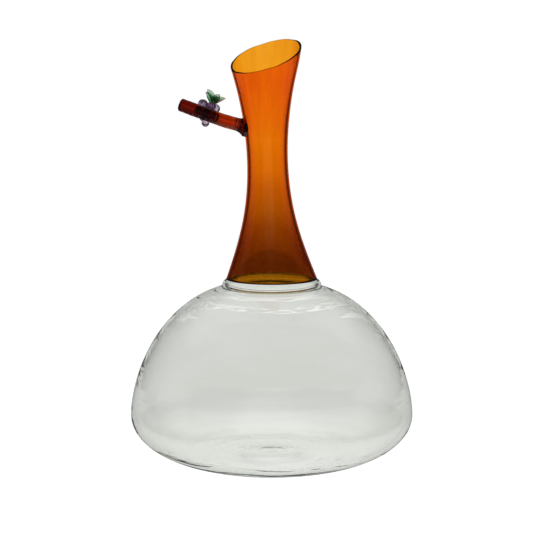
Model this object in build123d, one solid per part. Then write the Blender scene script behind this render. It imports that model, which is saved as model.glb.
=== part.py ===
from build123d import *
import math
import os

# A lampworked glass wine decanter, in millimetres. +Z is up, +X points away from the side
# branch, and the origin is the middle of the flat ring that the bowl stands on.
# Pieces that are fused together on the real object meet face to face here.

# Bowl: a squat clear vessel with a flat resting ring and a slightly raised middle.
BOWL_RADIUS = 94.5
BOWL_WIDEST_HEIGHT = 31.8
BOWL_WALL = 2.2
REST_RING_OUTER_RADIUS = 37.0
REST_RING_INNER_RADIUS = 31.0
PUSH_UP_HEIGHT = 2.4
FLOOR_THICKNESS = 2.2
SHOULDER_POINTS = [(92.0, 50.2), (86.0, 68.2), (75.9, 86.2), (61.5, 102.2), (45.0, 113.0)]
# Directions, in the XZ plane, in which the shoulder meets the weld ring and the push-up its rim.
SHOULDER_END = Vector(-0.93, 0, 0.36)
PUSH_UP_END = Vector(1, 0, -0.35)
# Points taken along a curve where another one is drawn from it.
CORNER_STEPS = 8
BOWL_SAMPLES = 8
NECK_SAMPLES = 12

# Weld ring: the thick clear bead where the bowl was joined to the neck.
RING_BOTTOM_HEIGHT = 117.7
RING_BOTTOM_RADIUS = 33.2
RING_BULGE = 0.7
SEAM_HEIGHT = 122.6
SEAM_RADIUS = 30.4

# Neck: an amber tube with a waist and a flared mouth. It leans, and the mouth is cut obliquely.
NECK_WALL = 1.9
NECK_POINTS = [(30.4, 122.6), (23.6, 141.5), (17.0, 165.5), (13.55, 197.4), (15.6, 231.0),
               (20.2, 255.0), (24.1, 271.0), (26.2, 284.0)]
NECK_LEAN = 2.07
NECK_LEAN_PIVOT_HEIGHT = 128.0
NECK_SPARE_LENGTH = 8.0
MOUTH_HEIGHT = 269.0
MOUTH_CENTRE_X = -5.1
MOUTH_TILT = 26.3
MOUTH_HIGH_SIDE = 53.0

# Branch: a bent solid amber rod with a flared foot. Distances run out from the neck's axis.
BRANCH_DIAMETER = 8.6
BRANCH_HEADING = 190.0
BRANCH_AXIS_X = -3.6
BRANCH_FOOT_RISE = 15.5
BRANCH_RISE = 20.5
BRANCH_BEND_RADIUS = 30.0
BRANCH_BEND_DISTANCE = 29.0
BRANCH_END_DISTANCE = 57.5
BRANCH_END_HEIGHT = 238.6
BRANCH_END_ROUNDING = 1.2
FOOT_START_DISTANCE = 8.0
FOOT_END_DISTANCE = 20.5
FOOT_FLARE_DISTANCE = 14.5
FOOT_RADIUS = 6.6
# The flare's first direction, in the XZ plane of its own profile.
FLARE_START = Vector(-0.75, 0, 0.66)

# Grape bunch: glass beads fused to each other and to the far side of the branch. The bunch has
# its own frame: first along the branch towards the neck, then away behind it, then up across it.
BUNCH_DISTANCE = 39.0
BUNCH_DEPTH = 10.0
GRAPE_RADIUS = 2.95
BOTTOM_GRAPE_RADIUS = 2.6
# Each row: height, half-width along the branch, half-width in depth, number of grapes.
GRAPE_ROWS = [(5.2, 5.0, 4.0, 5), (-0.3, 5.6, 4.4, 6)]
MIDDLE_GRAPE_PLACE = (0.0, 0.0, 2.3)
BOTTOM_GRAPE_PLACES = [(1.5, -2.8, -5.3), (-0.9, 2.2, -3.2)]
# Turns each ball so the seam of its surface misses the flat faces' corners.
GRAPE_TURN = (55.0, 20.0, 0.0)

# Leaf crown: a calyx with five leaves on top of the bunch.
CALYX_PLACE = (2.2, 0.0, 4.9)
CALYX_BOTTOM_RADIUS = 2.2
CALYX_TOP_RADIUS = 1.6
CALYX_HEIGHT = 4.8
LEAF_START_HEIGHT = 3.6
LEAF_WIDTH = 3.2
LEAF_THICKNESS = 1.3
LEAF_WIDEST_SHARE = 0.45
LEAF_TIP_RADIUS = 0.25
# Each leaf: direction round the calyx, lean away from the bunch's axis, length.
LEAVES = [(8.0, 50.0, 8.2), (78.0, 36.0, 7.2), (152.0, 52.0, 9.4), (205.0, 34.0, 8.8), (300.0, 26.0, 7.0)]


def revolved(profile_edges):
    """Close a profile in the XZ plane into a face and turn it about Z."""
    return revolve(make_face(profile_edges), Axis.Z)


def point(radius, height):
    return Vector(radius, 0, height)


def inset_spline(curve, distance, samples):
    """A spline that runs beside a curve in the XZ plane, on the side nearer to the axis."""
    beside = []
    for step in range(samples + 1):
        place = curve @ (step / samples)
        along = curve % (step / samples)
        beside.append(place + Vector(-along.Z, 0, along.X) * distance)
    return Spline(*beside)


def lower_corner(start, end):
    """A quarter of an ellipse that leaves start level and reaches end upright."""
    quarter = []
    for step in range(CORNER_STEPS + 1):
        angle = math.pi / 2 * step / CORNER_STEPS
        quarter.append(point(start.X + (end.X - start.X) * math.sin(angle),
                             start.Z + (end.Z - start.Z) * (1 - math.cos(angle))))
    return Spline(*quarter, tangents=[(1, 0, 0), (0, 0, 1)])


def shoulder():
    """The bowl's outer wall from its widest place up to the weld ring."""
    points = [point(BOWL_RADIUS, BOWL_WIDEST_HEIGHT)]
    points += [point(radius, height) for radius, height in SHOULDER_POINTS]
    points.append(point(RING_BOTTOM_RADIUS, RING_BOTTOM_HEIGHT))
    return Spline(*points, tangents=[(0, 0, 1), SHOULDER_END])


def bowl():
    outer_shoulder = shoulder()
    inner_shoulder = inset_spline(outer_shoulder, BOWL_WALL, BOWL_SAMPLES)
    rest_outer = point(REST_RING_OUTER_RADIUS, 0)
    rest_inner = point(REST_RING_INNER_RADIUS, 0)
    push_up_top = point(0, PUSH_UP_HEIGHT)
    floor_middle = point(0, PUSH_UP_HEIGHT + FLOOR_THICKNESS)
    floor_edge = point(REST_RING_OUTER_RADIUS, FLOOR_THICKNESS)
    profile = [
        Line(rest_inner, rest_outer),
        lower_corner(rest_outer, outer_shoulder @ 0),
        outer_shoulder,
        Line(outer_shoulder @ 1, inner_shoulder @ 1),
        inner_shoulder,
        lower_corner(floor_edge, inner_shoulder @ 0),
        Spline(floor_edge, floor_middle, tangents=[(-1, 0, 0), (-1, 0, 0)]),
        Line(floor_middle, push_up_top),
        Spline(push_up_top, rest_inner, tangents=[(1, 0, 0), PUSH_UP_END]),
    ]
    return revolved(profile)


def weld_ring():
    outer_bottom = point(RING_BOTTOM_RADIUS, RING_BOTTOM_HEIGHT)
    outer_top = point(SEAM_RADIUS, SEAM_HEIGHT)
    middle = (outer_bottom + outer_top) * 0.5 + Vector(RING_BULGE, 0, RING_BULGE / 2)
    inner_bottom = inset_spline(shoulder(), BOWL_WALL, BOWL_SAMPLES) @ 1
    inner_top = point(SEAM_RADIUS - NECK_WALL, SEAM_HEIGHT)
    profile = [
        ThreePointArc(outer_bottom, middle, outer_top),
        Line(outer_top, inner_top),
        Spline(inner_top, inner_bottom, tangents=[(0, 0, -1), SHOULDER_END * -1]),
        Line(inner_bottom, outer_bottom),
    ]
    return revolved(profile)


def neck_envelope(inset):
    """The neck's filled shape, upright, with spare length at both ends."""
    wall = Spline(*[point(radius, height) for radius, height in NECK_POINTS])
    side = inset_spline(wall, inset, NECK_SAMPLES) if inset else wall
    bottom = side @ 0 - (side % 0) * NECK_SPARE_LENGTH
    top = side @ 1 + (side % 1) * NECK_SPARE_LENGTH
    profile = [
        Line(bottom, side @ 0),
        side,
        Line(side @ 1, top),
        Line(top, point(0, top.Z)),
        Line(point(0, top.Z), point(0, bottom.Z)),
        Line(point(0, bottom.Z), bottom),
    ]
    upright = revolved(profile)
    pivot = (0, 0, NECK_LEAN_PIVOT_HEIGHT)
    return upright.rotate(Axis(pivot, (0, -1, 0)), NECK_LEAN)


def neck(outside):
    tube = outside - neck_envelope(NECK_WALL)
    tube = split(tube, bisect_by=Plane.XY.offset(SEAM_HEIGHT), keep=Keep.TOP)
    return split(tube, bisect_by=mouth_plane(), keep=Keep.BOTTOM)


def mouth_plane():
    slope = math.tan(math.radians(MOUTH_TILT))
    high_side = math.radians(MOUTH_HIGH_SIDE)
    upward = (-slope * math.cos(high_side), -slope * math.sin(high_side), 1)
    return Plane(origin=(MOUTH_CENTRE_X, 0, MOUTH_HEIGHT), z_dir=upward)


def branch_point(distance, height):
    heading = math.radians(BRANCH_HEADING)
    return Vector(BRANCH_AXIS_X + distance * math.cos(heading), distance * math.sin(heading), height)


def branch_direction(rise):
    """The outward direction of the branch where it climbs at this angle."""
    level = math.cos(math.radians(rise))
    heading = math.radians(BRANCH_HEADING)
    return Vector(level * math.cos(heading), level * math.sin(heading), math.sin(math.radians(rise)))


def branch_height(distance):
    """The height of the branch's centre line at a distance from the neck's axis."""
    bend_height = BRANCH_END_HEIGHT - rise_over(BRANCH_END_DISTANCE - BRANCH_BEND_DISTANCE, BRANCH_RISE)
    if distance >= BRANCH_BEND_DISTANCE:
        return bend_height + rise_over(distance - BRANCH_BEND_DISTANCE, BRANCH_RISE)
    return bend_height + rise_over(distance - BRANCH_BEND_DISTANCE, BRANCH_FOOT_RISE)


def rise_over(distance, angle):
    return distance * math.tan(math.radians(angle))


def centre_point(distance):
    return branch_point(distance, branch_height(distance))


def branch():
    foot_end = centre_point(FOOT_END_DISTANCE)
    route = FilletPolyline(foot_end, centre_point(BRANCH_BEND_DISTANCE),
                           centre_point(BRANCH_END_DISTANCE), radius=BRANCH_BEND_RADIUS)
    section_plane = Plane(origin=foot_end, z_dir=branch_direction(BRANCH_FOOT_RISE))
    rod = sweep(section_plane * Circle(BRANCH_DIAMETER / 2), path=route)
    free_end = rod.faces().sort_by(Axis(foot_end, branch_direction(BRANCH_RISE)))[-1]
    return fillet(free_end.edges(), BRANCH_END_ROUNDING)


def branch_foot(neck_outside):
    """The flare that spreads the branch over the neck's wall."""
    start = centre_point(FOOT_START_DISTANCE)
    outward = branch_direction(BRANCH_FOOT_RISE)
    reach = math.cos(math.radians(BRANCH_FOOT_RISE))
    flare_start = (FOOT_FLARE_DISTANCE - FOOT_START_DISTANCE) / reach
    flare_end = (FOOT_END_DISTANCE - FOOT_START_DISTANCE) / reach
    rod_radius = BRANCH_DIAMETER / 2
    flare = Spline(point(FOOT_RADIUS, flare_start), point(rod_radius, flare_end),
                   tangents=[FLARE_START, (0, 0, 1)])
    profile = [
        Line(point(0, 0), point(FOOT_RADIUS, 0)),
        Line(point(FOOT_RADIUS, 0), point(FOOT_RADIUS, flare_start)),
        flare,
        Line(point(rod_radius, flare_end), point(0, flare_end)),
        Line(point(0, flare_end), point(0, 0)),
    ]
    placed = Location(Plane(origin=start, z_dir=outward)) * revolved(profile)
    return placed - neck_outside


def bunch_frame():
    along = branch_direction(BRANCH_RISE) * -1
    across = Vector(0, 0, 1) - along * along.Z
    return Location(Plane(origin=centre_point(BUNCH_DISTANCE), x_dir=along, z_dir=across))


def grape_places():
    """Grape centres and radii in the bunch's frame, row by row from the top."""
    places = []
    for height, half_width, half_depth, count in GRAPE_ROWS:
        for turn in range(count):
            angle = 2 * math.pi * turn / count
            along = half_width * math.cos(angle)
            behind = BUNCH_DEPTH + half_depth * math.sin(angle)
            places.append((Vector(along, behind, height), GRAPE_RADIUS))
    along, behind, height = MIDDLE_GRAPE_PLACE
    places.append((Vector(along, BUNCH_DEPTH + behind, height), GRAPE_RADIUS))
    for along, behind, height in BOTTOM_GRAPE_PLACES:
        places.append((Vector(along, BUNCH_DEPTH + behind, height), BOTTOM_GRAPE_RADIUS))
    return places


def fused_face(centre, radius, other_centre, other_radius):
    """The plane through the circle where two overlapping balls meet."""
    between = other_centre - centre
    gap = between.length
    reach = (gap * gap + radius * radius - other_radius * other_radius) / (2 * gap)
    toward = between.normalized()
    return Plane(origin=centre + toward * reach, z_dir=toward)


def grapes(branch_solid):
    """Balls with a flat face wherever one is fused to the next."""
    places = grape_places()
    span = 4 * GRAPE_RADIUS
    beyond = Box(span, span, span, align=(Align.CENTER, Align.CENTER, Align.MIN))
    solids = []
    for number, (centre, radius) in enumerate(places):
        ball = Pos(*centre) * Rot(*GRAPE_TURN) * Sphere(radius)
        for other_number, (other_centre, other_radius) in enumerate(places):
            touching = (other_centre - centre).length < radius + other_radius
            if number != other_number and touching:
                face = fused_face(centre, radius, other_centre, other_radius)
                ball = ball - Location(face) * beyond
        solids.append(bunch_frame() * ball - branch_solid)
    return solids


def calyx_frame():
    along, behind, height = CALYX_PLACE
    return bunch_frame() * Pos(along, BUNCH_DEPTH + behind, height)


def calyx(solids_below):
    cone = Cone(CALYX_BOTTOM_RADIUS, CALYX_TOP_RADIUS, CALYX_HEIGHT,
                align=(Align.CENTER, Align.CENTER, Align.MIN))
    rounded = fillet(cone.edges().sort_by(Axis.Z)[-1], CALYX_TOP_RADIUS / 2)
    placed = calyx_frame() * rounded
    for solid in solids_below:
        placed = placed - solid
    return placed


def leaf_blade(length):
    """A pointed blade along Z, flattened in Y."""
    half_width = LEAF_WIDTH / 2
    edge = Spline(point(half_width / 2, 0), point(half_width, length * LEAF_WIDEST_SHARE),
                  point(LEAF_TIP_RADIUS, length))
    blade = revolved([
        Line(point(0, 0), edge @ 0),
        edge,
        Line(edge @ 1, point(0, length)),
        Line(point(0, length), point(0, 0)),
    ])
    return scale(blade, by=(1, LEAF_THICKNESS / LEAF_WIDTH, 1))


def leaves(solids_below):
    placed = []
    for direction, lean, length in LEAVES:
        turn = calyx_frame() * Pos(0, 0, LEAF_START_HEIGHT) * Rot(Z=direction + 90) * Rot(X=lean)
        blade = turn * leaf_blade(length)
        for solid in solids_below + placed:
            blade = blade - solid
        placed.append(largest(blade))
    return placed


def largest(shape):
    return max(shape.solids(), key=lambda solid: solid.volume)


def build():
    neck_outside = neck_envelope(0)
    branch_solid = branch()
    grape_solids = grapes(branch_solid)
    bunch_solids = [branch_solid] + grape_solids
    calyx_solid = calyx(bunch_solids)
    pieces = {
        "bowl": bowl(),
        "weld_ring": weld_ring(),
        "neck": neck(neck_outside),
        "branch": branch_solid,
        "branch_foot": branch_foot(neck_outside),
        "calyx": calyx_solid,
    }
    for number, solid in enumerate(grape_solids, start=1):
        pieces[f"grape_{number:02d}"] = solid
    for number, solid in enumerate(leaves(bunch_solids + [calyx_solid]), start=1):
        pieces[f"leaf_{number}"] = solid
    return pieces


os.makedirs("parts", exist_ok=True)
for node, shape in build().items():
    export_step(shape, f"parts/{node}.step")
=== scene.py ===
import math

import bmesh
import bpy
import numpy as np
from mathutils import Matrix, Vector


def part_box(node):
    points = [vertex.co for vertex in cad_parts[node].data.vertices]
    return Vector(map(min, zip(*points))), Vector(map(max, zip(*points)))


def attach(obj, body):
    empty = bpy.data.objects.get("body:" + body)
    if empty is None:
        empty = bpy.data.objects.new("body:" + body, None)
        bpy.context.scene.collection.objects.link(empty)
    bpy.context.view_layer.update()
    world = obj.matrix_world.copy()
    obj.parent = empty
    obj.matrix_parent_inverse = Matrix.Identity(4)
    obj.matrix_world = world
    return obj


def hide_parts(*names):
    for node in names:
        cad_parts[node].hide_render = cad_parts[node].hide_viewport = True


# A lampworked glass decanter: clear bowl and weld ring, amber neck, solid branch, glass grapes.
# Lengths are in metres, except where a comment says millimetres. The bowl and the ring take their
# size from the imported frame, and the wall curves repeat the part's own dimensions.

MM = 0.001
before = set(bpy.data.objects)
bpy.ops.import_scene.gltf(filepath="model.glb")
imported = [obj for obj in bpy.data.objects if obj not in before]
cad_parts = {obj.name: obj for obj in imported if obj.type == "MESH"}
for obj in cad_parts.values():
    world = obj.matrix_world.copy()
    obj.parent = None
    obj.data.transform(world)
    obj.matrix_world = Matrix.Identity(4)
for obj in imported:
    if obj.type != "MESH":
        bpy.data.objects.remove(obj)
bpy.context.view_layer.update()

BOWL_LOW, BOWL_HIGH = (np.array(corner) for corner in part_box("bowl"))
RING_LOW, RING_HIGH = (np.array(corner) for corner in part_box("weld_ring"))

# Bowl. The shoulder's points are (radius, height) in millimetres.
BOWL_RADIUS = (BOWL_HIGH[0] - BOWL_LOW[0]) / 2
BOWL_TOP = BOWL_HIGH[2]
BOWL_WIDEST_HEIGHT = 31.8 * MM
BOWL_WALL = 2.2 * MM
REST_OUTER = 37.0 * MM
REST_INNER = 31.0 * MM
FLOOR_THICKNESS = 2.2 * MM
SHOULDER = [(92.0, 50.2), (86.0, 68.2), (75.9, 86.2), (61.5, 102.2), (45.0, 113.0)]
SHOULDER_END = (-0.93, 0.36)
PUSH_UP = 2.4 * MM
PUSH_UP_SLOPE_RADIUS_SHARE = 0.72
PUSH_UP_SLOPE_HEIGHT_SHARE = 0.42
PONTIL_RADIUS = 13.0 * MM
PONTIL_DEPTH = 0.1 * MM
PONTIL_BROW_RADIUS_SHARE = 0.7
PONTIL_BROW_DEPTH_SHARE = 0.85
PONTIL_EDGE_HEIGHT_SHARE = 0.93

# Weld ring. It meets the neck at the seam.
RING_RADIUS = (RING_HIGH[0] - RING_LOW[0]) / 2
RING_BULGE = np.array([0.7, 0.35]) * MM
SEAM_HEIGHT = RING_HIGH[2]
SEAM_RADIUS = 30.4 * MM

# Neck. The wall's points are (radius, height) in millimetres.
NECK_WALL = 1.9 * MM
NECK_WALL_POINTS = [(30.4, 122.6), (23.6, 141.5), (17.0, 165.5), (13.55, 197.4), (15.6, 231.0),
                    (20.2, 255.0), (24.1, 271.0), (26.2, 284.0)]
NECK_LEAN = math.radians(2.07)
MOUTH_HEIGHT = 269.0 * MM
MOUTH_CENTRE_X = -5.1 * MM
MOUTH_TILT = math.radians(26.3)
MOUTH_HIGH_SIDE = math.radians(53.0)
LIP_THINNING_HEIGHTS = [225.0 * MM, 262.0 * MM]
LIP_WALL_SHARE = 0.75
LIP_WAVE = 0.35 * MM
# The lip's unevenness: waves round the mouth, their share of the height, and where they start.
LIP_WAVES = [(3, 1.0, 0.6), (7, 0.6, 0.0), (13, 0.35, 2.0)]

# Branch. Distances run out from the neck's axis.
BRANCH_RADIUS = 4.3 * MM
BRANCH_HEADING = math.radians(190.0)
BRANCH_AXIS_X = -3.6 * MM
BRANCH_SLOPE = math.tan(math.radians(20.5))
BEND_DISTANCE = 29.0 * MM
BEND_SOFTNESS = 1.5 * MM
BRANCH_END_DISTANCE = 57.5 * MM
BRANCH_END_HEIGHT = 238.6 * MM
# The rod's thickness wanders: share of the radius, radians per millimetre, and where it starts.
ROD_WAVES = [(0.012, 0.55, 0.0), (0.008, 1.7, 1.0)]
ROD_EVEN_LENGTH = 3.0 * MM
ROD_END_START = 1.6 * MM
ROD_END_LENGTH = 1.9 * MM
ROD_END_BLUNTNESS = 0.55

# Foot of the branch.
FOOT_SLOPE = math.tan(math.radians(15.5))
FOOT_START = 8.0 * MM
FOOT_END = 20.5 * MM
FLARE_START = 14.5 * MM
FOOT_RADIUS = 6.6 * MM
FLARE_DIRECTION = (-0.75, -0.66)
FOOT_MIDDLE_SHARE = 0.04
NECK_SEARCH_REACH = 12.0 * MM

# Grape bunch, in millimetres in its own frame: along the branch to the neck, then behind it, then up.
BUNCH_DISTANCE = 39.0 * MM
BUNCH_DEPTH = 10.0
GRAPE_RADIUS = 2.95
BOTTOM_GRAPE_RADIUS = 2.6
# Each row: height, half-width along the branch, half-width in depth, number of grapes.
GRAPE_ROWS = [(5.9, 5.0, 4.0, 5), (0.1, 5.6, 4.4, 6)]
MIDDLE_GRAPE = (0.0, 0.0, 2.3)
BOTTOM_GRAPES = [(1.5, -2.8, -5.3), (-0.4, 2.2, -2.4)]
ROD_CLEARANCE = 0.03

# Calyx and leaves, in millimetres. The outline is (radius, height) over the calyx's place.
CALYX_PLACE = (2.2, 0.0, 4.9)
CALYX_OUTLINE = [(0.9, 2.4), (1.3, 2.7), (1.6, 3.2), (1.65, 3.9), (1.1, 4.7), (0, 5.0)]
CALYX_TIP_RADIUS = 0.02
CALYX_FOLDS = 5
CALYX_FOLD_DEPTH = 0.07
# Each leaf: direction round the calyx, lean, curl, twist, length, half-width.
LEAVES = [(8, 30, 42, 58, 8.8, 2.2), (78, 30, 20, 20, 7.4, 2.1), (152, 30, 62, -45, 8.8, 2.3),
          (200, 30, 30, -60, 10.0, 2.7), (290, 12, 40, 25, 8.0, 2.5)]
LEAF_START_HEIGHT = 3.4
LEAF_START_OUT = 0.9
LEAF_CURL_POWER = 1.6
LEAF_BASE_WIDTH_SHARE = 0.4
LEAF_WIDTH_POWER = 0.9
LEAF_TIP_POWER = 6
LEAF_THICKNESS = 0.62
LEAF_TAPER = 0.75
LEAF_EDGE = 0.03
LEAF_TIP = 0.1
LEAF_FOLD = 0.3
LEAF_FOLD_POWER = 1.3
LEAF_FLATTENING = 0.3
LEAF_AXIS_SHARE = 0.3

# How finely each piece is drawn.
CURVE_SAMPLES = 400
TURNS = 256
ROD_TURNS = 96
BASE_ROWS = 60
CORNER_ROWS = 70
SHOULDER_ROWS = 150
RING_ROWS = 24
NECK_ROWS = 160
LIP_ROWS = 8
BRANCH_ROWS = 90
BRANCH_END_ROWS = 16
FLARE_SAMPLES = 60
FOOT_FACE_ROWS = 14
FOOT_SIDE_ROWS = 26
BALL_ROWS, BALL_TURNS = 48, 72
CALYX_ROWS, CALYX_TURNS = 40, 48
LEAF_ROWS, LEAF_TURNS = 36, 32
FLOOR_TURNS = 64
MOUTH_STEPS = 30
REACH_STEPS = 40
FOOT_STEPS = 25

# Fused faces stand a little apart, so that they don't overlap.
SEAM_GAP = 0.02 * MM
# A turned ring with less radius than this is a point on the axis.
POINT_RADIUS = 1e-7
# A direction that turns less than this towards a neighbour doesn't meet the face they share.
LEAST_TOWARD = 1e-6

# Glass colours. Stops are a place in millimetres along an axis, and the colour there.
WHITE = (1.0, 1.0, 1.0)
GLASS_IOR = 1.47
BEAD_IOR = 1.5
AMBER_BY_HEIGHT = [(124, (0.38, 0.27, 0.27)), (135, (0.39, 0.27, 0.27)), (155.3, (0.56, 0.44, 0.4)),
                   (168.6, (0.71, 0.62, 0.6)), (182, (0.82, 0.7, 0.7)), (195, (0.94, 0.84, 0.8)),
                   (215, (1.0, 0.92, 0.9)), (254, (1.0, 0.64, 0.5)), (276, (1.0, 0.64, 0.5))]
ROD_FROM_TIP = [(-62, (0.3, 0.13, 0.16)), (-44, (0.36, 0.17, 0.2)), (-31, (0.95, 0.75, 0.5)),
                (-25, (0.95, 0.75, 0.5)), (-21, (0.3, 0.18, 0.12))]
LEAF_FROM_BASE = [(0, (0.08, 0.4, 0.12)), (3.4, (0.1, 0.5, 0.16)), (6.0, (0.62, 0.95, 0.7)),
                  (9, (0.88, 1.0, 0.9))]
# The part of a noise's range over which a colour goes from dark to light.
TONE_SPAN = (0.35, 0.65)

# Light. Each fade is the span of a distance or a direction, and the brightness at its two ends.
FLOOR_RADIUS = 1.2
FLOOR_DROP = 0.02 * MM
FLOOR_GLOW = 0.97
FLOOR_GREY = (0.5, 0.5, 0.5)
FLOOR_TINT = (0.985, 1.0, 0.97)
ROOM_TINT = (0.99, 1.0, 0.975)
MIRRORED_SHARE = 0.15
ROOM_GLOW = 0.12
PANEL_GLOW = 0.6
FLOOR_NEAR_FADE = ((0.04, 0.18), (0.96, 0.75))
FLOOR_FRONT_FADE = ((-0.32, -0.1), (0.6, 1.0))
BACK_WALL_FADE = ((0.88, 0.965), (ROOM_GLOW, 1.0))
BACK_WALL_HEIGHT_FADE = ((0.0, 0.12), (1.0, 0.7))
TOP_LIGHT_FADE = ((0.4, 0.7), (0.0, 0.8))
TOP_LIGHT_BACK_FADE = ((-0.05, 0.35), (0.0, 1.0))
SIDE_PANEL_FADE = ((0.9, 0.98), (ROOM_GLOW, PANEL_GLOW))
FRONT_PANEL_FADE = ((-0.95, -0.8), (0.9, ROOM_GLOW))

# Camera.
CAMERA_DISTANCE = 1.0
CAMERA_ELEVATION = math.radians(7.3)
CAMERA_AIM_HEIGHT = 130.8 * MM
CAMERA_ASIDE = -3.5 * MM
CAMERA_LENS = 101.3
CAMERA_SENSOR = 36
LIGHT_BOUNCES = 32
GLOSSY_BOUNCES = 16


# ---------------------------------------------------------------- curves

def smooth_curve(points, count, start=None, end=None):
    """A cubic spline through 2-D points, evenly sampled by chord length.
    start and end are optional directions at the two ends."""
    points = np.array(points, float)
    steps = np.hypot(*np.diff(points, axis=0).T)
    at = np.concatenate(([0.0], np.cumsum(steps)))
    slopes = spline_slopes(points, steps, start, end)
    places = np.linspace(0, at[-1], count)
    index = np.clip(np.searchsorted(at, places, side="right") - 1, 0, len(points) - 2)
    t = ((places - at[index]) / steps[index])[:, None]
    h = steps[index][:, None]
    return ((2 * t ** 3 - 3 * t ** 2 + 1) * points[index] + (t ** 3 - 2 * t ** 2 + t) * h * slopes[index]
            + (3 * t ** 2 - 2 * t ** 3) * points[index + 1] + (t ** 3 - t ** 2) * h * slopes[index + 1])


def spline_slopes(points, steps, start, end):
    """The slopes that make a cubic spline's bend change smoothly at every point."""
    last = len(points) - 1
    system = np.zeros((last + 1, last + 1))
    known = np.zeros((last + 1, 2))
    for i in range(1, last):
        system[i, i - 1:i + 2] = steps[i], 2 * (steps[i - 1] + steps[i]), steps[i - 1]
        before = (points[i] - points[i - 1]) / steps[i - 1]
        after = (points[i + 1] - points[i]) / steps[i]
        known[i] = 3 * (steps[i] * before + steps[i - 1] * after)
    for row, direction, inner, step in ((0, start, 1, steps[0]), (last, end, last - 1, steps[-1])):
        system[row, row] = 1
        if direction is not None:
            known[row] = np.array(direction) / np.hypot(*direction)
        else:
            system[row, inner] = 0.5
            known[row] = 1.5 * (points[max(row, inner)] - points[min(row, inner)]) / step
    return np.linalg.solve(system, known)


def beside(curve, distance):
    """The curve moved sideways, to its left, by a distance."""
    along = np.gradient(curve, axis=0)
    along /= np.hypot(*along.T)[:, None]
    return curve + np.stack([-along[:, 1], along[:, 0]], axis=1) * distance


def quarter_ellipse(start, end, count):
    """Leaves start level and reaches end upright."""
    angle = np.linspace(0, math.pi / 2, count)
    return np.stack([start[0] + (end[0] - start[0]) * np.sin(angle),
                     start[1] + (end[1] - start[1]) * (1 - np.cos(angle))], axis=1)


def join(*stretches):
    """One outline from stretches that share their end points."""
    return np.concatenate([stretches[0]] + [stretch[1:] for stretch in stretches[1:]])


def in_metres(points):
    return [(radius * MM, height * MM) for radius, height in points]


def turn_angles(turns):
    return [2 * math.pi * turn / turns for turn in range(turns)]


# ---------------------------------------------------------------- meshes

def new_piece(name, bm, materials):
    mesh = bpy.data.meshes.new(name)
    bm.to_mesh(mesh)
    bm.free()
    for material in materials:
        mesh.materials.append(material)
    piece = bpy.data.objects.new(name, mesh)
    bpy.context.scene.collection.objects.link(piece)
    return piece


def skin(rings, slots, closed=False):
    """Faces between rings of points. A ring of one point closes an end to a tip.
    slots gives each gap between two rings its material, and slot 0 is smooth."""
    bm = bmesh.new()
    rings = [[bm.verts.new(corner) for corner in ring] for ring in rings]
    pairs = list(zip(rings, rings[1:]))
    if closed:
        pairs.append((rings[-1], rings[0]))
    for (lower, upper), slot in zip(pairs, slots):
        turns = max(len(lower), len(upper))
        for turn in range(turns):
            after = (turn + 1) % turns
            if len(lower) == 1:
                corners = [lower[0], upper[after], upper[turn]]
            elif len(upper) == 1:
                corners = [lower[turn], lower[after], upper[0]]
            else:
                corners = [lower[turn], lower[after], upper[after], upper[turn]]
            face = bm.faces.new(corners)
            face.material_index = slot
            face.smooth = slot == 0
    bmesh.ops.recalc_face_normals(bm, faces=bm.faces)
    return bm


def lathe(outline, slots, closed):
    """Turns an outline of (radius, height) about Z."""
    rings = []
    for radius, height in outline:
        if radius < POINT_RADIUS:
            rings.append([(0, 0, height)])
        else:
            rings.append([(radius * math.cos(a), radius * math.sin(a), height) for a in turn_angles(TURNS)])
    return skin(rings, slots, closed)


# ---------------------------------------------------------------- shader nodes

def node_material(name):
    material = bpy.data.materials.new(name)
    material.use_nodes = True
    tree = material.node_tree
    tree.nodes.clear()
    output = tree.nodes.new("ShaderNodeOutputMaterial")
    return material, tree, output


def place_ramp(tree, axis, stops):
    """A colour that changes along an object axis, through stops of (millimetres, colour)."""
    stops = [(place * MM, colour) for place, colour in stops]
    low, high = stops[0][0], stops[-1][0]
    coordinates = tree.nodes.new("ShaderNodeTexCoord")
    split = tree.nodes.new("ShaderNodeSeparateXYZ")
    spread = tree.nodes.new("ShaderNodeMapRange")
    ramp = tree.nodes.new("ShaderNodeValToRGB")
    spread.inputs["From Min"].default_value = low
    spread.inputs["From Max"].default_value = high
    tree.links.new(coordinates.outputs["Object"], split.inputs["Vector"])
    tree.links.new(split.outputs[axis], spread.inputs["Value"])
    tree.links.new(spread.outputs["Result"], ramp.inputs["Fac"])
    elements = ramp.color_ramp.elements
    while len(elements) < len(stops):
        elements.new(0.5)
    for element, (place, colour) in zip(elements, stops):
        element.position = (place - low) / (high - low)
        element.color = (*colour, 1)
    return ramp.outputs["Color"]


def noise(tree, stretch, scale, detail=3.0):
    """Noise in object space, stretched by a factor along each axis."""
    place = tree.nodes.new("ShaderNodeTexCoord")
    mapping = tree.nodes.new("ShaderNodeMapping")
    texture = tree.nodes.new("ShaderNodeTexNoise")
    mapping.inputs["Scale"].default_value = stretch
    texture.inputs["Scale"].default_value = scale
    texture.inputs["Detail"].default_value = detail
    tree.links.new(place.outputs["Object"], mapping.inputs["Vector"])
    tree.links.new(mapping.outputs["Vector"], texture.inputs["Vector"])
    return texture.outputs["Fac"]


def turned_rings(tree, scale, distortion, detail_scale):
    """Faint rings round the vertical axis, left by turning the hot glass."""
    place = tree.nodes.new("ShaderNodeTexCoord")
    texture = tree.nodes.new("ShaderNodeTexWave")
    texture.wave_type = "RINGS"
    texture.rings_direction = "Z"
    texture.inputs["Scale"].default_value = scale
    texture.inputs["Distortion"].default_value = distortion
    texture.inputs["Detail Scale"].default_value = detail_scale
    tree.links.new(place.outputs["Object"], texture.inputs["Vector"])
    return texture.outputs["Fac"]


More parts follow.
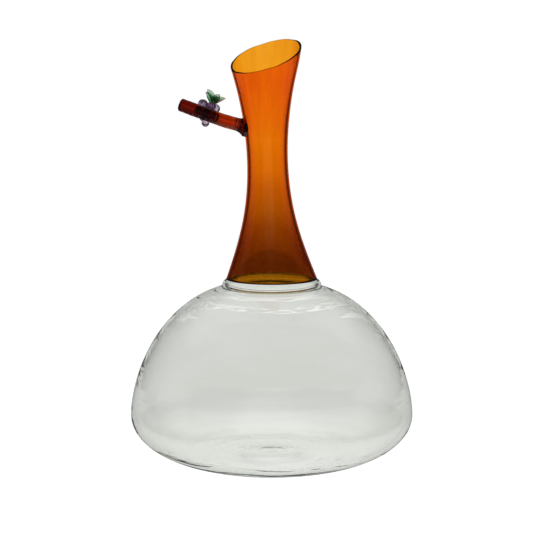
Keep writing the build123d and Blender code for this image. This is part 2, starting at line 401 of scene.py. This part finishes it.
def fade(tree, value, span, ends):
    """A value that goes smoothly from one end to the other as another crosses a span."""
    spread = tree.nodes.new("ShaderNodeMapRange")
    spread.interpolation_type = "SMOOTHSTEP"
    spread.inputs["From Min"].default_value = span[0]
    spread.inputs["From Max"].default_value = span[1]
    spread.inputs["To Min"].default_value = ends[0]
    spread.inputs["To Max"].default_value = ends[1]
    tree.links.new(value, spread.inputs["Value"])
    return spread.outputs["Result"]


def combine(tree, operation, one, other):
    result = tree.nodes.new("ShaderNodeMath")
    result.operation = operation
    tree.links.new(one, result.inputs[0])
    tree.links.new(other, result.inputs[1])
    return result.outputs["Value"]


def tones(tree, value, dark, light=WHITE):
    """A colour from dark to light as a value goes through the middle of its range."""
    ramp = tree.nodes.new("ShaderNodeValToRGB")
    tree.links.new(value, ramp.inputs["Fac"])
    for element, place, colour in zip(ramp.color_ramp.elements, TONE_SPAN, (dark, light)):
        element.position = place
        element.color = (*colour, 1)
    return ramp.outputs["Color"]


def times(tree, one, other):
    mix = tree.nodes.new("ShaderNodeMix")
    mix.data_type = "RGBA"
    mix.blend_type = "MULTIPLY"
    mix.inputs["Factor"].default_value = 1
    tree.links.new(one, mix.inputs["A"])
    tree.links.new(other, mix.inputs["B"])
    return mix.outputs["Result"]


# ---------------------------------------------------------------- glass

def glass(name, absorbed, density, ior=GLASS_IOR, roughness=0.0, transmission=1.0):
    """A glass that absorbs inside. Its surface colour and ripple are added by worked_surface."""
    material, tree, output = node_material(name)
    shader = tree.nodes.new("ShaderNodeBsdfPrincipled")
    shader.inputs["Roughness"].default_value = roughness
    shader.inputs["IOR"].default_value = ior
    shader.inputs["Transmission Weight"].default_value = transmission
    volume = tree.nodes.new("ShaderNodeVolumeAbsorption")
    volume.inputs["Color"].default_value = (*absorbed, 1)
    volume.inputs["Density"].default_value = density
    tree.links.new(shader.outputs["BSDF"], output.inputs["Surface"])
    tree.links.new(volume.outputs["Volume"], output.inputs["Volume"])
    return material, tree, shader


def worked_surface(tree, shader, colour, height, depth):
    """Gives a glass its colour pattern and a hand-worked surface of a small depth."""
    bump = tree.nodes.new("ShaderNodeBump")
    bump.inputs["Strength"].default_value = 1
    bump.inputs["Distance"].default_value = depth
    tree.links.new(colour, shader.inputs["Base Color"])
    tree.links.new(height, bump.inputs["Height"])
    tree.links.new(bump.outputs["Normal"], shader.inputs["Normal"])


def clear_glass():
    """Clear glass with a grey-green cast, soft cords in it and rings from turning it."""
    material, tree, shader = glass("clear_glass", absorbed=(0.9, 0.93, 0.86), density=40)
    cords = tones(tree, noise(tree, stretch=(1, 1, 4), scale=9), dark=(0.955, 0.962, 0.945))
    rings = turned_rings(tree, scale=28, distortion=3.0, detail_scale=0.8)
    rings = fade(tree, rings, span=(0, 1), ends=(0, 0.3))
    ripple = combine(tree, "ADD", noise(tree, stretch=(0.7, 0.7, 6), scale=18), rings)
    worked_surface(tree, shader, cords, ripple, depth=0.25 * MM)
    return material


def fused_seam():
    """Faces where two pieces of glass are melted together can't be seen."""
    material, tree, output = node_material("fused_seam")
    shader = tree.nodes.new("ShaderNodeBsdfTransparent")
    tree.links.new(shader.outputs["BSDF"], output.inputs["Surface"])
    return material


def amber_glass():
    """Amber whose colour is darker at the neck's foot and lighter upward, with fine drawn streaks."""
    material, tree, shader = glass("amber_glass", absorbed=(0.989, 0.854, 0.02), density=2500)
    by_height = place_ramp(tree, "Z", AMBER_BY_HEIGHT)
    streaks = tones(tree, noise(tree, stretch=(1, 1, 0.05), scale=260), dark=(0.93, 0.88, 0.88))
    ripple = noise(tree, stretch=(1, 1, 0.08), scale=180)
    worked_surface(tree, shader, times(tree, by_height, streaks), ripple, depth=0.02 * MM)
    return material


def dark_amber_glass():
    """The branch's solid rod, darkest towards its tip and at its foot."""
    material, tree, shader = glass("dark_amber_glass", absorbed=(0.93, 0.72, 0.04), density=1500)
    by_place = place_ramp(tree, "X", ROD_FROM_TIP)
    streaks = tones(tree, noise(tree, stretch=(1, 2, 2), scale=40, detail=1.0), dark=(0.9, 0.85, 0.8))
    ripple = noise(tree, stretch=(1, 2, 2), scale=45, detail=1.0)
    worked_surface(tree, shader, times(tree, by_place, streaks), ripple, depth=0.03 * MM)
    return material


def amethyst_glass():
    """Lilac beads with a dimpled skin and a patchy colour, partly their own uneven tone and partly painted
    highlights and painted shade.
    """
    material, tree, shader = glass("amethyst_glass", absorbed=(0.55, 0.33, 0.6), density=100,
                                   ior=BEAD_IOR, roughness=0.01)
    # Pale patches of this colour are painted highlights and dark ones painted shade, over the beads' own
    # uneven tone.
    tone_and_painted_light = tones(tree, noise(tree, stretch=(1, 1, 1), scale=420),
                  dark=(0.22, 0.1, 0.26), light=(1, 0.95, 1))
    dimples = noise(tree, stretch=(1, 1, 1), scale=480, detail=1.0)
    worked_surface(tree, shader, tone_and_painted_light, dimples, depth=1.2 * MM)
    return material


def green_glass():
    """Leaves that go from deep green at the calyx to pale mint at their tips."""
    material, tree, shader = glass("green_glass", absorbed=(0.12, 0.5, 0.25), density=160,
                                   ior=BEAD_IOR, roughness=0.06, transmission=0.85)
    by_length = place_ramp(tree, "Z", LEAF_FROM_BASE)
    veins = tones(tree, noise(tree, stretch=(5, 5, 1), scale=160), dark=(0.7, 0.8, 0.7))
    ripple = noise(tree, stretch=(4, 4, 1), scale=120, detail=1.0)
    worked_surface(tree, shader, times(tree, by_length, veins), ripple, depth=0.03 * MM)
    return material


CLEAR = clear_glass()
SEAM = fused_seam()
AMBER = amber_glass()
ROD = dark_amber_glass()
AMETHYST = amethyst_glass()
GREEN = green_glass()


# ---------------------------------------------------------------- bowl and weld ring

def shoulder_curve():
    """The bowl's outer wall from its widest place up to the weld ring."""
    points = [(BOWL_RADIUS, BOWL_WIDEST_HEIGHT)] + in_metres(SHOULDER) + [(RING_RADIUS, BOWL_TOP)]
    return smooth_curve(points, SHOULDER_ROWS, start=(0, 1), end=SHOULDER_END)


def base_curve(lift, dimple):
    """The push-up, lifted, from the bowl's middle to its resting ring. The dimple is the pontil mark."""
    points = [
        (0, PUSH_UP + dimple),
        (PONTIL_RADIUS * PONTIL_BROW_RADIUS_SHARE, PUSH_UP + dimple * PONTIL_BROW_DEPTH_SHARE),
        (PONTIL_RADIUS, PUSH_UP * PONTIL_EDGE_HEIGHT_SHARE),
        (REST_INNER * PUSH_UP_SLOPE_RADIUS_SHARE, PUSH_UP * PUSH_UP_SLOPE_HEIGHT_SHARE),
        (REST_INNER, 0),
    ]
    lifted = [(radius, height + lift) for radius, height in points]
    return smooth_curve(lifted, BASE_ROWS, start=(1, 0), end=(1, 0))


def make_bowl():
    outer_shoulder = shoulder_curve()
    inner_shoulder = beside(outer_shoulder, BOWL_WALL)
    floor_edge = (REST_OUTER, FLOOR_THICKNESS)
    outside = join(
        base_curve(0, PONTIL_DEPTH),
        np.array([(REST_INNER, 0), (REST_OUTER, 0)]),
        quarter_ellipse((REST_OUTER, 0), outer_shoulder[0], CORNER_ROWS),
        outer_shoulder,
    )
    inside = join(
        base_curve(FLOOR_THICKNESS, 0),
        np.array([(REST_INNER, FLOOR_THICKNESS), floor_edge]),
        quarter_ellipse(floor_edge, inner_shoulder[0], CORNER_ROWS),
        inner_shoulder,
    )[::-1]
    outline = np.concatenate([outside, inside])
    slots = [0] * (len(outline) - 1)
    slots[len(outside) - 1] = 1
    return new_piece("blown_bowl", lathe(outline, slots, closed=False), [CLEAR, SEAM])


def make_weld_ring():
    shoulder = shoulder_curve()
    lift = np.array([0, SEAM_GAP])
    outer_bottom = shoulder[-1]
    inner_bottom = beside(shoulder, BOWL_WALL)[-1]
    outer_top = np.array((SEAM_RADIUS, SEAM_HEIGHT))
    inner_top = np.array((SEAM_RADIUS - NECK_WALL, SEAM_HEIGHT))
    middle = (outer_bottom + outer_top) / 2 + RING_BULGE
    downward = (-SHOULDER_END[0], -SHOULDER_END[1])
    outside = smooth_curve([outer_bottom + lift, middle, outer_top], RING_ROWS)
    inside = smooth_curve([inner_top, inner_bottom + lift], RING_ROWS, start=(0, -1), end=downward)
    outline = np.concatenate([outside, inside])
    slots = [0] * len(outline)
    slots[len(outside) - 1] = 1
    slots[-1] = 1
    return new_piece("clear_weld_ring", lathe(outline, slots, closed=True), [CLEAR, SEAM])


# ---------------------------------------------------------------- neck

NECK_CURVE = smooth_curve(in_metres(NECK_WALL_POINTS), CURVE_SAMPLES)
NECK_FLARE = np.gradient(NECK_CURVE[:, 0]) / np.gradient(NECK_CURVE[:, 1])
NECK_WALL_ACROSS = NECK_WALL * np.sqrt(1 + NECK_FLARE ** 2)


def neck_radius(height, inset=0):
    """The neck's radius, outside for an inset of 0 and inside for 1."""
    outer = np.interp(height, NECK_CURVE[:, 1], NECK_CURVE[:, 0])
    thinner = np.interp(height, LIP_THINNING_HEIGHTS, [1, LIP_WALL_SHARE])
    return outer - inset * thinner * np.interp(height, NECK_CURVE[:, 1], NECK_WALL_ACROSS)


def neck_centre_x(height):
    return -math.tan(NECK_LEAN) * max(height - SEAM_HEIGHT, 0)


def on_neck(angle, height, inset):
    radius = neck_radius(height, inset)
    return np.array([neck_centre_x(height) + radius * math.cos(angle), radius * math.sin(angle), height])


def mouth_height(angle, inset):
    """The height at which the oblique mouth cuts the neck in a direction."""
    height = MOUTH_HEIGHT
    for _ in range(MOUTH_STEPS):
        x, y, _height = on_neck(angle, height, inset)
        across = (x - MOUTH_CENTRE_X) * math.cos(MOUTH_HIGH_SIDE) + y * math.sin(MOUTH_HIGH_SIDE)
        height = MOUTH_HEIGHT + math.tan(MOUTH_TILT) * across
    return height


def lip_wave(angle):
    """The lip was cut hot, by hand, so it isn't quite flat."""
    return LIP_WAVE * sum(share * math.sin(waves * angle + start) for waves, share, start in LIP_WAVES) / 2


def neck_column(angle):
    """Points up the neck's outside, over its rounded lip and down its inside."""
    lip = NECK_WALL * LIP_WALL_SHARE / 2
    seam_height = SEAM_HEIGHT + SEAM_GAP
    outer_top = mouth_height(angle, 0) + lip_wave(angle) - lip
    inner_top = mouth_height(angle, 1) + lip_wave(angle) - lip
    outside = [on_neck(angle, height, 0) for height in np.linspace(seam_height, outer_top, NECK_ROWS)]
    inside = [on_neck(angle, height, 1) for height in np.linspace(inner_top, seam_height, NECK_ROWS)]
    middle = (outside[-1] + inside[0]) / 2
    half = (outside[-1] - inside[0]) / 2
    rise = outside[-1] - outside[-2]
    rise = rise / np.linalg.norm(rise) * lip
    over = []
    for step in range(1, LIP_ROWS):
        swing = math.pi * step / LIP_ROWS
        over.append(middle + half * math.cos(swing) + rise * math.sin(swing))
    return outside + over + inside


def make_neck():
    columns = [neck_column(angle) for angle in turn_angles(TURNS)]
    rings = list(zip(*columns))
    slots = [0] * (len(rings) - 1) + [1]
    return new_piece("amber_neck", skin(rings, slots, closed=True), [AMBER, SEAM])


# ---------------------------------------------------------------- branch and its foot

UP = np.array([0, 0, 1.0])
HEADING = np.array([math.cos(BRANCH_HEADING), math.sin(BRANCH_HEADING), 0])
SIDE = np.cross(UP, HEADING)
BEND_HEIGHT = BRANCH_END_HEIGHT - (BRANCH_END_DISTANCE - BEND_DISTANCE) * BRANCH_SLOPE


def centre_line(distance):
    """The branch's centre at a distance from the neck's axis, with a soft bend."""
    past = distance - BEND_DISTANCE
    soft = math.hypot(past, BEND_SOFTNESS)
    height = BEND_HEIGHT + (BRANCH_SLOPE + FOOT_SLOPE) / 2 * past + (BRANCH_SLOPE - FOOT_SLOPE) / 2 * soft
    return np.array([BRANCH_AXIS_X, 0, 0]) + HEADING * distance + UP * height


def outward(distance):
    """The branch's direction at a distance from the neck's axis."""
    step = 0.1 * MM
    along = centre_line(distance + step) - centre_line(distance - step)
    return along / np.linalg.norm(along)


def ring_round(centre, along, radius):
    over = np.cross(along, SIDE)
    return [centre + radius * (math.cos(a) * SIDE + math.sin(a) * over) for a in turn_angles(ROD_TURNS)]


def rod_radius(distance):
    """The rod's radius, which wanders a little past the stretch next to its foot."""
    if distance < FOOT_END + ROD_EVEN_LENGTH:
        return BRANCH_RADIUS
    waves = [share * math.sin(distance / MM * pace + start) for share, pace, start in ROD_WAVES]
    return BRANCH_RADIUS * (1 + sum(waves))


def branch_end_rings(end):
    """The melted, blunt end of the rod, from its full width to its middle."""
    along = outward(end)
    rings = []
    for step in range(1, BRANCH_END_ROWS):
        swing = math.pi / 2 * step / BRANCH_END_ROWS
        centre = centre_line(end) + along * ROD_END_LENGTH * math.sin(swing)
        rings.append(ring_round(centre, along, BRANCH_RADIUS * math.cos(swing) ** ROD_END_BLUNTNESS))
    return rings + [[centre_line(end) + along * ROD_END_LENGTH]]


def make_branch():
    end = BRANCH_END_DISTANCE - ROD_END_START
    rings = [[centre_line(FOOT_END)]]
    for distance in np.linspace(FOOT_END, end, BRANCH_ROWS):
        rings.append(ring_round(centre_line(distance), outward(distance), rod_radius(distance)))
    rings += branch_end_rings(end)
    slots = [1] + [0] * (len(rings) - 2)
    return new_piece("amber_branch", skin(rings, slots), [ROD, SEAM])


def reach_to_neck(start, along):
    """How far from start, going along, the neck's outside is met."""
    low, high = -NECK_SEARCH_REACH, NECK_SEARCH_REACH
    for _ in range(REACH_STEPS):
        middle = (low + high) / 2
        x, y, height = start + along * middle
        outside = math.hypot(x - neck_centre_x(height), y) > neck_radius(height) + SEAM_GAP
        low, high = (low, middle) if outside else (middle, high)
    return high


def foot_column(sideways, along, end, flare, profile):
    """Points from the foot's face on the neck, out along its flare, to where the rod begins."""
    def radius_at(back):
        return np.interp(back, profile[::-1, 1], profile[::-1, 0])

    back = flare
    for _ in range(FOOT_STEPS):
        back = -reach_to_neck(end + sideways * radius_at(back), along)
    column = []
    for share in np.linspace(FOOT_MIDDLE_SHARE, 1, FOOT_FACE_ROWS):
        start = end + sideways * radius_at(back) * share
        column.append(start + along * reach_to_neck(start, along))
    for place in np.linspace(back, 0, FOOT_SIDE_ROWS)[1:]:
        column.append(end - along * place + sideways * radius_at(place))
    return column


def make_foot():
    along = outward(FOOT_START)
    over = np.cross(along, SIDE)
    end = centre_line(FOOT_END)
    flare = np.linalg.norm(end - centre_line(FLARE_START))
    profile = smooth_curve([(FOOT_RADIUS, flare), (BRANCH_RADIUS, 0)], FLARE_SAMPLES,
                           start=FLARE_DIRECTION, end=(0, -1))
    columns = []
    for angle in turn_angles(ROD_TURNS):
        sideways = math.cos(angle) * SIDE + math.sin(angle) * over
        columns.append(foot_column(sideways, along, end, flare, profile))
    rings = [list(ring) for ring in zip(*columns)]
    rings[-1] = [corner - along * SEAM_GAP for corner in rings[-1]]
    rings = [[end + along * reach_to_neck(end, along)]] + rings + [[end - along * SEAM_GAP]]
    slots = [0] * (len(rings) - 2) + [1]
    return new_piece("flared_foot", skin(rings, slots), [ROD, SEAM])


# ---------------------------------------------------------------- grapes

BUNCH_CENTRE = centre_line(BUNCH_DISTANCE)
BUNCH_ALONG = -outward(BUNCH_DISTANCE)
BUNCH_RISE = UP - BUNCH_ALONG * BUNCH_ALONG[2]
BUNCH_UP = BUNCH_RISE / np.linalg.norm(BUNCH_RISE)
BUNCH_BEHIND = np.cross(BUNCH_UP, BUNCH_ALONG)


def in_bunch(place):
    """A place in the scene from millimetres in the bunch's own frame."""
    along, behind, up = place
    return BUNCH_CENTRE + (along * BUNCH_ALONG + behind * BUNCH_BEHIND + up * BUNCH_UP) * MM


def grape_balls():
    """Each grape's centre and radius in the bunch's frame, row by row from the top."""
    balls = []
    for height, half_width, half_depth, count in GRAPE_ROWS:
        for angle in turn_angles(count):
            balls.append((half_width * math.cos(angle), half_depth * math.sin(angle), height, GRAPE_RADIUS))
    balls.append((*MIDDLE_GRAPE, GRAPE_RADIUS))
    balls += [(*place, BOTTOM_GRAPE_RADIUS) for place in BOTTOM_GRAPES]
    return [(np.array([along, BUNCH_DEPTH + behind, up]), radius) for along, behind, up, radius in balls]


def reach_to_ball(centre, radius, direction, other, other_radius):
    """How far off in a direction the flat face is that two balls share."""
    between = other - centre
    gap = np.linalg.norm(between)
    toward = direction @ between / gap
    plane = (gap ** 2 + radius ** 2 - other_radius ** 2) / (2 * gap) - SEAM_GAP / MM
    return plane / toward if toward > LEAST_TOWARD else math.inf


def reach_to_rod(centre, direction):
    """How far off in a direction the branch is, which lies along the bunch's first axis."""
    across, from_axis = direction[1:], centre[1:]
    steepness, closing = across @ across, from_axis @ across
    rod = BRANCH_RADIUS / MM + ROD_CLEARANCE
    inside = closing * closing - steepness * (from_axis @ from_axis - rod * rod)
    return (-closing - math.sqrt(inside)) / steepness if inside > 0 and closing < 0 else math.inf


def reach_in_ball(centre, radius, direction, neighbours):
    """How far a ball reaches in a direction, and whether it ends on a fused face."""
    to_face = [reach_to_ball(centre, radius, direction, *neighbour) for neighbour in neighbours]
    face = min([radius] + to_face)
    rod = reach_to_rod(centre, direction)
    return min(face, rod), face < radius and not rod < face


def make_grape(number, balls):
    """A ball with a flat face wherever it is fused to the next."""
    centre, radius = balls[number]
    neighbours = [ball for other, ball in enumerate(balls)
                  if other != number and np.linalg.norm(ball[0] - centre) < radius + ball[1]]
    rings, fused = [], []
    for row in range(BALL_ROWS + 1):
        polar = math.pi * row / BALL_ROWS
        ring = []
        for angle in turn_angles(BALL_TURNS if 0 < row < BALL_ROWS else 1):
            direction = np.array([math.sin(polar) * math.cos(angle), math.sin(polar) * math.sin(angle),
                                  math.cos(polar)])
            reach, on_face = reach_in_ball(centre, radius, direction, neighbours)
            ring.append(in_bunch(centre + direction * reach))
            fused.append(on_face)
        rings.append(ring)
    bm = skin(rings, [0] * BALL_ROWS)
    bm.verts.index_update()
    for face in bm.faces:
        if all(fused[corner.index] for corner in face.verts):
            face.material_index = 1
            face.smooth = False
    return new_piece(f"glass_grape_{number + 1:02d}", bm, [AMETHYST, SEAM])


# ---------------------------------------------------------------- leaf crown

def over_calyx(height):
    """A place a number of millimetres over the calyx's own place."""
    along, behind, up = CALYX_PLACE
    return in_bunch((along, BUNCH_DEPTH + behind, up + height))


def own_space(piece, origin, up, forward):
    """Gives a piece its own origin and axes, so its pattern follows its length."""
    side = np.cross(up, forward)
    matrix = Matrix([[*row, 0] for row in np.stack([side, forward, up], axis=1)] + [[0, 0, 0, 1]])
    matrix.translation = Vector(origin)
    piece.data.transform(matrix.inverted())
    piece.matrix_world = matrix


def calyx_ring(origin, radius, height):
    """One folded ring of the calyx. A ring with hardly any radius is a point."""
    centre = origin + BUNCH_UP * height
    if radius < CALYX_TIP_RADIUS * MM:
        return [centre]
    top = CALYX_OUTLINE[-1][1] * MM
    ring = []
    for angle in turn_angles(CALYX_TURNS):
        fold = radius * (1 + CALYX_FOLD_DEPTH * math.cos(CALYX_FOLDS * angle) * height / top)
        ring.append(centre + fold * (math.cos(angle) * BUNCH_ALONG + math.sin(angle) * BUNCH_BEHIND))
    return ring


def make_calyx():
    origin = over_calyx(0)
    curve = smooth_curve(in_metres(CALYX_OUTLINE), CALYX_ROWS, end=(-1, 0))
    outline = [(0, CALYX_OUTLINE[0][1] * MM)] + [(max(radius, 0), height) for radius, height in curve]
    rings = [calyx_ring(origin, radius, height) for radius, height in outline]
    piece = new_piece("leaf_calyx", skin(rings, [0] * (len(rings) - 1)), [GREEN])
    own_space(piece, origin, BUNCH_UP, BUNCH_BEHIND)
    return piece


def leaned(degrees, out):
    """Where a leaf leans out by an angle: the directions along it and through its face."""
    tilt = math.radians(degrees)
    along = math.cos(tilt) * BUNCH_UP + math.sin(tilt) * out
    face = math.cos(tilt) * out - math.sin(tilt) * BUNCH_UP
    return along, face


def leaf_ring(place, wide_way, thin_way, half_width, share):
    """One ring of a blade, flat and folded along its middle, at a share of its length."""
    belly = math.sin(math.pi * share ** LEAF_WIDTH_POWER)
    spread = LEAF_BASE_WIDTH_SHARE + (1 - LEAF_BASE_WIDTH_SHARE) * belly
    width = half_width * spread * math.sqrt(1 - share ** LEAF_TIP_POWER)
    thick = LEAF_THICKNESS * (1 - LEAF_TAPER * share) + LEAF_EDGE
    ring = []
    for angle in turn_angles(LEAF_TURNS):
        across = width * math.cos(angle)
        fold = LEAF_FOLD * abs(across) ** LEAF_FOLD_POWER * (1 - LEAF_FLATTENING * share)
        raised = thick * math.sin(angle) - fold
        ring.append(place + (wide_way * across + thin_way * raised) * MM)
    return ring


def make_leaf(number):
    """A pulled leaf: a folded blade that leans out of the calyx and curls over at its tip."""
    direction, lean, curl, twist, length, half_width = LEAVES[number]
    turn, spin = math.radians(direction), math.radians(twist)
    out = math.cos(turn) * BUNCH_ALONG + math.sin(turn) * BUNCH_BEHIND
    side = np.cross(BUNCH_UP, out)
    origin = over_calyx(LEAF_START_HEIGHT) + out * LEAF_START_OUT * MM
    place = origin
    rings = [[origin]]
    for row in range(LEAF_ROWS):
        share = row / LEAF_ROWS
        along, face = leaned(lean + curl * share ** LEAF_CURL_POWER, out)
        wide_way = math.cos(spin) * side + math.sin(spin) * face
        thin_way = math.cos(spin) * face - math.sin(spin) * side
        rings.append(leaf_ring(place, wide_way, thin_way, half_width, share))
        place = place + along * length * MM / LEAF_ROWS
    tip_along, _ = leaned(lean + curl, out)
    rings.append([place + tip_along * LEAF_TIP * MM])
    piece = new_piece(f"pulled_leaf_{number + 1}", skin(rings, [0] * (len(rings) - 1)), [GREEN])
    own_up, _ = leaned(lean + curl * LEAF_AXIS_SHARE, out)
    own_space(piece, origin, own_up, np.cross(own_up, side))
    return piece


# ---------------------------------------------------------------- pieces on their nodes

def make_pieces():
    """Every piece, the node it replaces and the slot its material goes in."""
    balls = grape_balls()
    pieces = [
        (make_bowl(), "bowl", "clear_glass"),
        (make_weld_ring(), "weld_ring", "clear_glass"),
        (make_neck(), "neck", "amber_glass"),
        (make_branch(), "branch", "dark_amber_glass"),
        (make_foot(), "branch_foot", "dark_amber_glass"),
        (make_calyx(), "calyx", "green_glass"),
    ]
    for number in range(len(balls)):
        pieces.append((make_grape(number, balls), f"grape_{number + 1:02d}", "amethyst_glass"))
    for number in range(len(LEAVES)):
        pieces.append((make_leaf(number), f"leaf_{number + 1}", "green_glass"))
    return pieces


for piece, node, slot in make_pieces():
    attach(piece, "root")
    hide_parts(node)


# ---------------------------------------------------------------- floor, light and camera

def emission(tree, colour, strength):
    glow = tree.nodes.new("ShaderNodeEmission")
    glow.inputs["Color"].default_value = (*colour, 1)
    glow.inputs["Strength"].default_value = strength
    return glow.outputs["Emission"]


def lit_by(tree, colour, strength):
    glow = emission(tree, colour, 1.0)
    tree.links.new(strength, glow.node.inputs["Strength"])
    return glow


def seen_or_lit(tree, seen, lit):
    """seen is what the camera sees straight on, and lit is what the glass shows and mirrors."""
    path = tree.nodes.new("ShaderNodeLightPath")
    mix = tree.nodes.new("ShaderNodeMixShader")
    tree.links.new(path.outputs["Is Camera Ray"], mix.inputs["Fac"])
    tree.links.new(lit, mix.inputs[1])
    tree.links.new(seen, mix.inputs[2])
    return mix.outputs["Shader"]


def dim_in_reflections(tree, strength):
    """Mirrored on a glass surface, a light is much dimmer than when it shines through."""
    path = tree.nodes.new("ShaderNodeLightPath")
    share = fade(tree, path.outputs["Is Reflection Ray"], (0, 1), (1, MIRRORED_SHARE))
    return combine(tree, "MULTIPLY", strength, share)


def floor_strength(tree):
    """How bright the floor looks through glass: brightest under the object, dimmer in front."""
    place = tree.nodes.new("ShaderNodeTexCoord")
    split = tree.nodes.new("ShaderNodeSeparateXYZ")
    distance = tree.nodes.new("ShaderNodeVectorMath")
    distance.operation = "LENGTH"
    tree.links.new(place.outputs["Object"], distance.inputs[0])
    tree.links.new(place.outputs["Object"], split.inputs["Vector"])
    near = fade(tree, distance.outputs["Value"], *FLOOR_NEAR_FADE)
    front = fade(tree, split.outputs["Y"], *FLOOR_FRONT_FADE)
    return dim_in_reflections(tree, combine(tree, "MULTIPLY", near, front))


def make_floor():
    """A white floor that the camera sees evenly bright."""
    material, tree, output = node_material("pale_floor")
    shade = tree.nodes.new("ShaderNodeBsdfDiffuse")
    shade.inputs["Color"].default_value = (*FLOOR_GREY, 1)
    both = tree.nodes.new("ShaderNodeAddShader")
    tree.links.new(shade.outputs["BSDF"], both.inputs[0])
    tree.links.new(emission(tree, WHITE, FLOOR_GLOW), both.inputs[1])
    lit = lit_by(tree, FLOOR_TINT, floor_strength(tree))
    tree.links.new(seen_or_lit(tree, both.outputs["Shader"], lit), output.inputs["Surface"])
    edge = [(FLOOR_RADIUS * math.cos(a), FLOOR_RADIUS * math.sin(a), 0) for a in turn_angles(FLOOR_TURNS)]
    floor = new_piece("floor", skin([[(0, 0, 0)], edge], [0]), [material])
    floor.location.z = -FLOOR_DROP


def room_strength(tree):
    """A bright wall behind, a light above, and panels at the sides and in front of a dark room."""
    place = tree.nodes.new("ShaderNodeTexCoord")
    split = tree.nodes.new("ShaderNodeSeparateXYZ")
    sideways = tree.nodes.new("ShaderNodeMath")
    sideways.operation = "ABSOLUTE"
    tree.links.new(place.outputs["Generated"], split.inputs["Vector"])
    tree.links.new(split.outputs["X"], sideways.inputs[0])
    depth, height = split.outputs["Y"], split.outputs["Z"]
    behind = combine(tree, "MULTIPLY", fade(tree, depth, *BACK_WALL_FADE),
                     fade(tree, height, *BACK_WALL_HEIGHT_FADE))
    above = combine(tree, "MULTIPLY", fade(tree, height, *TOP_LIGHT_FADE),
                    fade(tree, depth, *TOP_LIGHT_BACK_FADE))
    at_the_sides = fade(tree, sideways.outputs["Value"], *SIDE_PANEL_FADE)
    in_front = fade(tree, depth, *FRONT_PANEL_FADE)
    around = combine(tree, "MAXIMUM", behind, combine(tree, "MAXIMUM", at_the_sides, in_front))
    return dim_in_reflections(tree, combine(tree, "MAXIMUM", around, above))


def make_lights():
    """The camera sees plain white, and the glass sees the room."""
    world = bpy.data.worlds.new("studio")
    world.use_nodes = True
    tree = world.node_tree
    tree.nodes.clear()
    output = tree.nodes.new("ShaderNodeOutputWorld")
    lit = lit_by(tree, ROOM_TINT, room_strength(tree))
    seen = emission(tree, WHITE, 1.0)
    tree.links.new(seen_or_lit(tree, seen, lit), output.inputs["Surface"])
    bpy.context.scene.world = world


def make_camera():
    data = bpy.data.cameras.new("camera")
    data.lens = CAMERA_LENS
    data.sensor_width = CAMERA_SENSOR
    camera = bpy.data.objects.new("camera", data)
    back = Vector((0, -math.cos(CAMERA_ELEVATION), math.sin(CAMERA_ELEVATION)))
    camera.location = Vector((CAMERA_ASIDE, 0, CAMERA_AIM_HEIGHT)) + back * CAMERA_DISTANCE
    camera.rotation_euler = (-back).to_track_quat("-Z", "Y").to_euler()
    bpy.context.scene.collection.objects.link(camera)
    bpy.context.scene.camera = camera


def set_light_paths():
    scene = bpy.context.scene
    scene.view_settings.view_transform = "Standard"
    scene.cycles.max_bounces = LIGHT_BOUNCES
    scene.cycles.transmission_bounces = LIGHT_BOUNCES
    scene.cycles.transparent_max_bounces = LIGHT_BOUNCES
    scene.cycles.glossy_bounces = GLOSSY_BOUNCES
    scene.cycles.use_denoising = True


make_floor()
make_lights()
make_camera()
set_light_paths()
